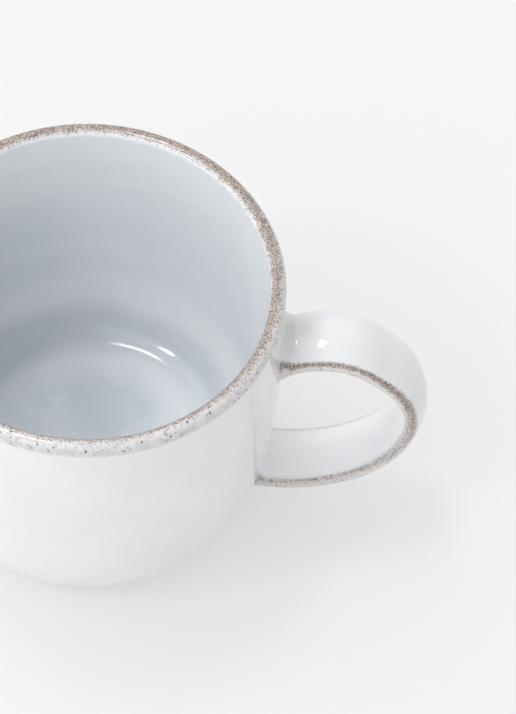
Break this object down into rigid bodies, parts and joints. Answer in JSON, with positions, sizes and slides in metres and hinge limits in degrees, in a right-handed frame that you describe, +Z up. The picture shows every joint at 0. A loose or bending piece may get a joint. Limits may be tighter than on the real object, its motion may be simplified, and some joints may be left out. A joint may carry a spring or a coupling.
{
  "type": "espresso cup",
  "caption": "Small bellied stoneware cup with a flat floor inside, a rounded lip, a low foot ring and an angular strap handle on one side.",
  "frame": {"origin": "on the cup's axis, in the plane that the foot ring stands on", "axes": "+Z up along the cup's axis, +X out through the middle of the handle"},
  "size_m": [0.0897, 0.065, 0.057],
  "materials": {
    "glaze": "glossy"
  },
  "bodies": {
    "root": {"cup": "glaze"}
  },
  "joints": []
}
